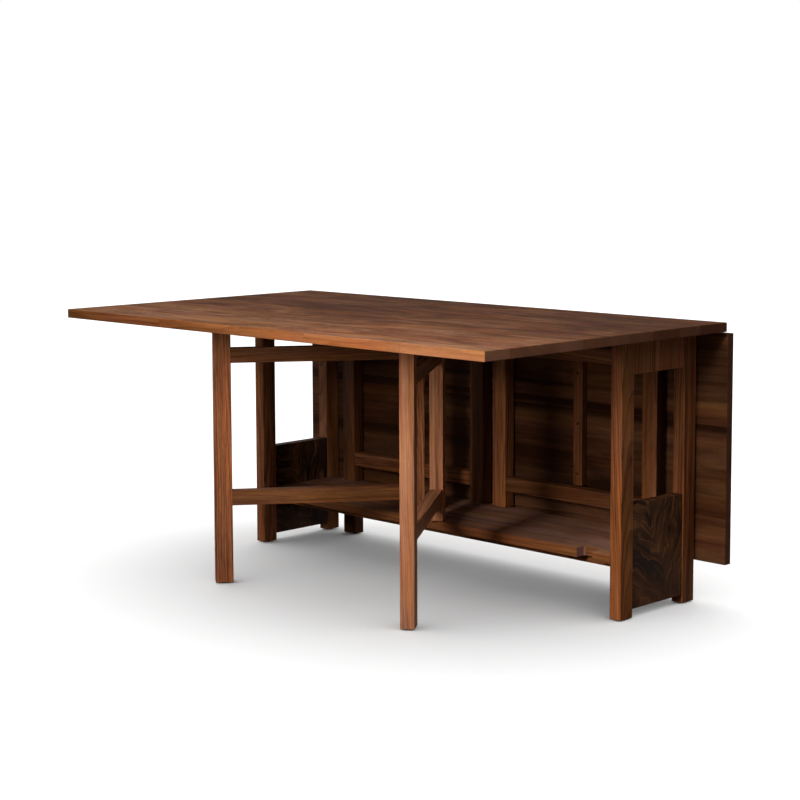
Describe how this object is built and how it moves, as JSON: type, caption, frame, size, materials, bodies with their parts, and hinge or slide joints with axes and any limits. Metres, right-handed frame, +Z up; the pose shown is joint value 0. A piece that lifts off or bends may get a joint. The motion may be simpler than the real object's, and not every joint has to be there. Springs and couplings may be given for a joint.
{
  "type": "gateleg console table",
  "caption": "Narrow wooden console table with a low shelf, panelled end frames, hinged drop leaves and swinging gates that carry a raised leaf.",
  "frame": {"origin": "on the floor, under the middle of the table's outer box as pictured, one leaf raised", "axes": "+X along the table, +Y from the raised leaf towards the hanging leaf, +Z up"},
  "size_m": [1.622, 0.9738, 0.762],
  "materials": {
    "top_walnut": "oiled walnut board",
    "frame_walnut": "oiled walnut stock",
    "shelf_walnut": "oiled walnut board",
    "figured_walnut": "oiled walnut with crotch figure",
    "hinge_steel": "bronzed steel",
    "screw_steel": "blackened steel",
    "pivot_steel": "plain steel",
    "pivot_brass": "plain brass",
    "foot_glide": "dark nylon"
  },
  "bodies": {
    "console": {"back_hinge_fixed_plates": "hinge_steel", "back_hinge_fixed_screws": "hinge_steel", "back_hinge_pins": "hinge_steel", "back_stretcher": "shelf_walnut", "centre_top": "top_walnut", "console_glides": "foot_glide", "front_hinge_fixed_plates": "hinge_steel", "front_hinge_fixed_screws": "hinge_steel", "front_hinge_pins": "hinge_steel", "front_stretcher": "shelf_walnut", "left_back_post": "frame_walnut", "left_end_panel": "figured_walnut", "left_end_rail": "frame_walnut", "left_front_post": "frame_walnut", "right_back_post": "frame_walnut", "right_end_panel": "figured_walnut", "right_end_rail": "frame_walnut", "right_front_post": "frame_walnut", "shelf": "shelf_walnut", "shelf_bushes": "pivot_brass", "top_bushes": "pivot_brass"},
    "front_drop_leaf": {"front_leaf": "top_walnut", "front_leaf_batten_screws": "screw_steel", "front_leaf_hinge_plates": "hinge_steel", "front_leaf_hinge_screws": "hinge_steel", "front_leaf_left_batten": "frame_walnut", "front_leaf_right_batten": "frame_walnut"},
    "back_drop_leaf": {"back_leaf": "top_walnut", "back_leaf_batten_screws": "screw_steel", "back_leaf_hinge_plates": "hinge_steel", "back_leaf_hinge_screws": "hinge_steel", "back_leaf_left_batten": "frame_walnut", "back_leaf_right_batten": "frame_walnut"},
    "front_left_gate": {"front_left_gate_glide": "foot_glide", "front_left_gate_leg": "frame_walnut", "front_left_gate_lower_rail": "frame_walnut", "front_left_gate_pins": "pivot_steel", "front_left_gate_pivot_post": "frame_walnut", "front_left_gate_upper_rail": "frame_walnut"},
    "front_right_gate": {"front_right_gate_glide": "foot_glide", "front_right_gate_leg": "frame_walnut", "front_right_gate_lower_rail": "frame_walnut", "front_right_gate_pins": "pivot_steel", "front_right_gate_pivot_post": "frame_walnut", "front_right_gate_upper_rail": "frame_walnut"},
    "back_left_gate": {"back_left_gate_glide": "foot_glide", "back_left_gate_leg": "frame_walnut", "back_left_gate_lower_rail": "frame_walnut", "back_left_gate_pins": "pivot_steel", "back_left_gate_pivot_post": "frame_walnut", "back_left_gate_upper_rail": "frame_walnut"},
    "back_right_gate": {"back_right_gate_glide": "foot_glide", "back_right_gate_leg": "frame_walnut", "back_right_gate_lower_rail": "frame_walnut", "back_right_gate_pins": "pivot_steel", "back_right_gate_pivot_post": "frame_walnut", "back_right_gate_upper_rail": "frame_walnut"}
  },
  "joints": [
    {"name": "front_left_gate_swing", "type": "hinge", "parent": "console", "child": "front_left_gate", "pos_m": [-0.0445, 0.15662, 0.4], "axis": [0, 0, -1], "range_deg": [0, 53.9]},
    {"name": "front_right_gate_swing", "type": "hinge", "parent": "console", "child": "front_right_gate", "pos_m": [0.0445, 0.15662, 0.4], "axis": [0, 0, 1], "range_deg": [0, 53.9]},
    {"name": "back_left_gate_swing", "type": "hinge", "parent": "console", "child": "back_left_gate", "pos_m": [-0.0445, 0.43462, 0.4], "axis": [0, 0, -1], "range_deg": [0, 0.6]},
    {"name": "back_right_gate_swing", "type": "hinge", "parent": "console", "child": "back_right_gate", "pos_m": [0.0445, 0.43462, 0.4], "axis": [0, 0, 1], "range_deg": [0, 0.6]},
    {"name": "front_leaf_hinge", "type": "hinge", "parent": "console", "child": "front_drop_leaf", "pos_m": [0, 0.13387, 0.7325], "axis": [-1, 0, 0], "range_deg": [0, 2]},
    {"name": "back_leaf_hinge", "type": "hinge", "parent": "console", "child": "back_drop_leaf", "pos_m": [0, 0.45737, 0.7325], "axis": [1, 0, 0], "range_deg": [0, 90]}
  ]
}
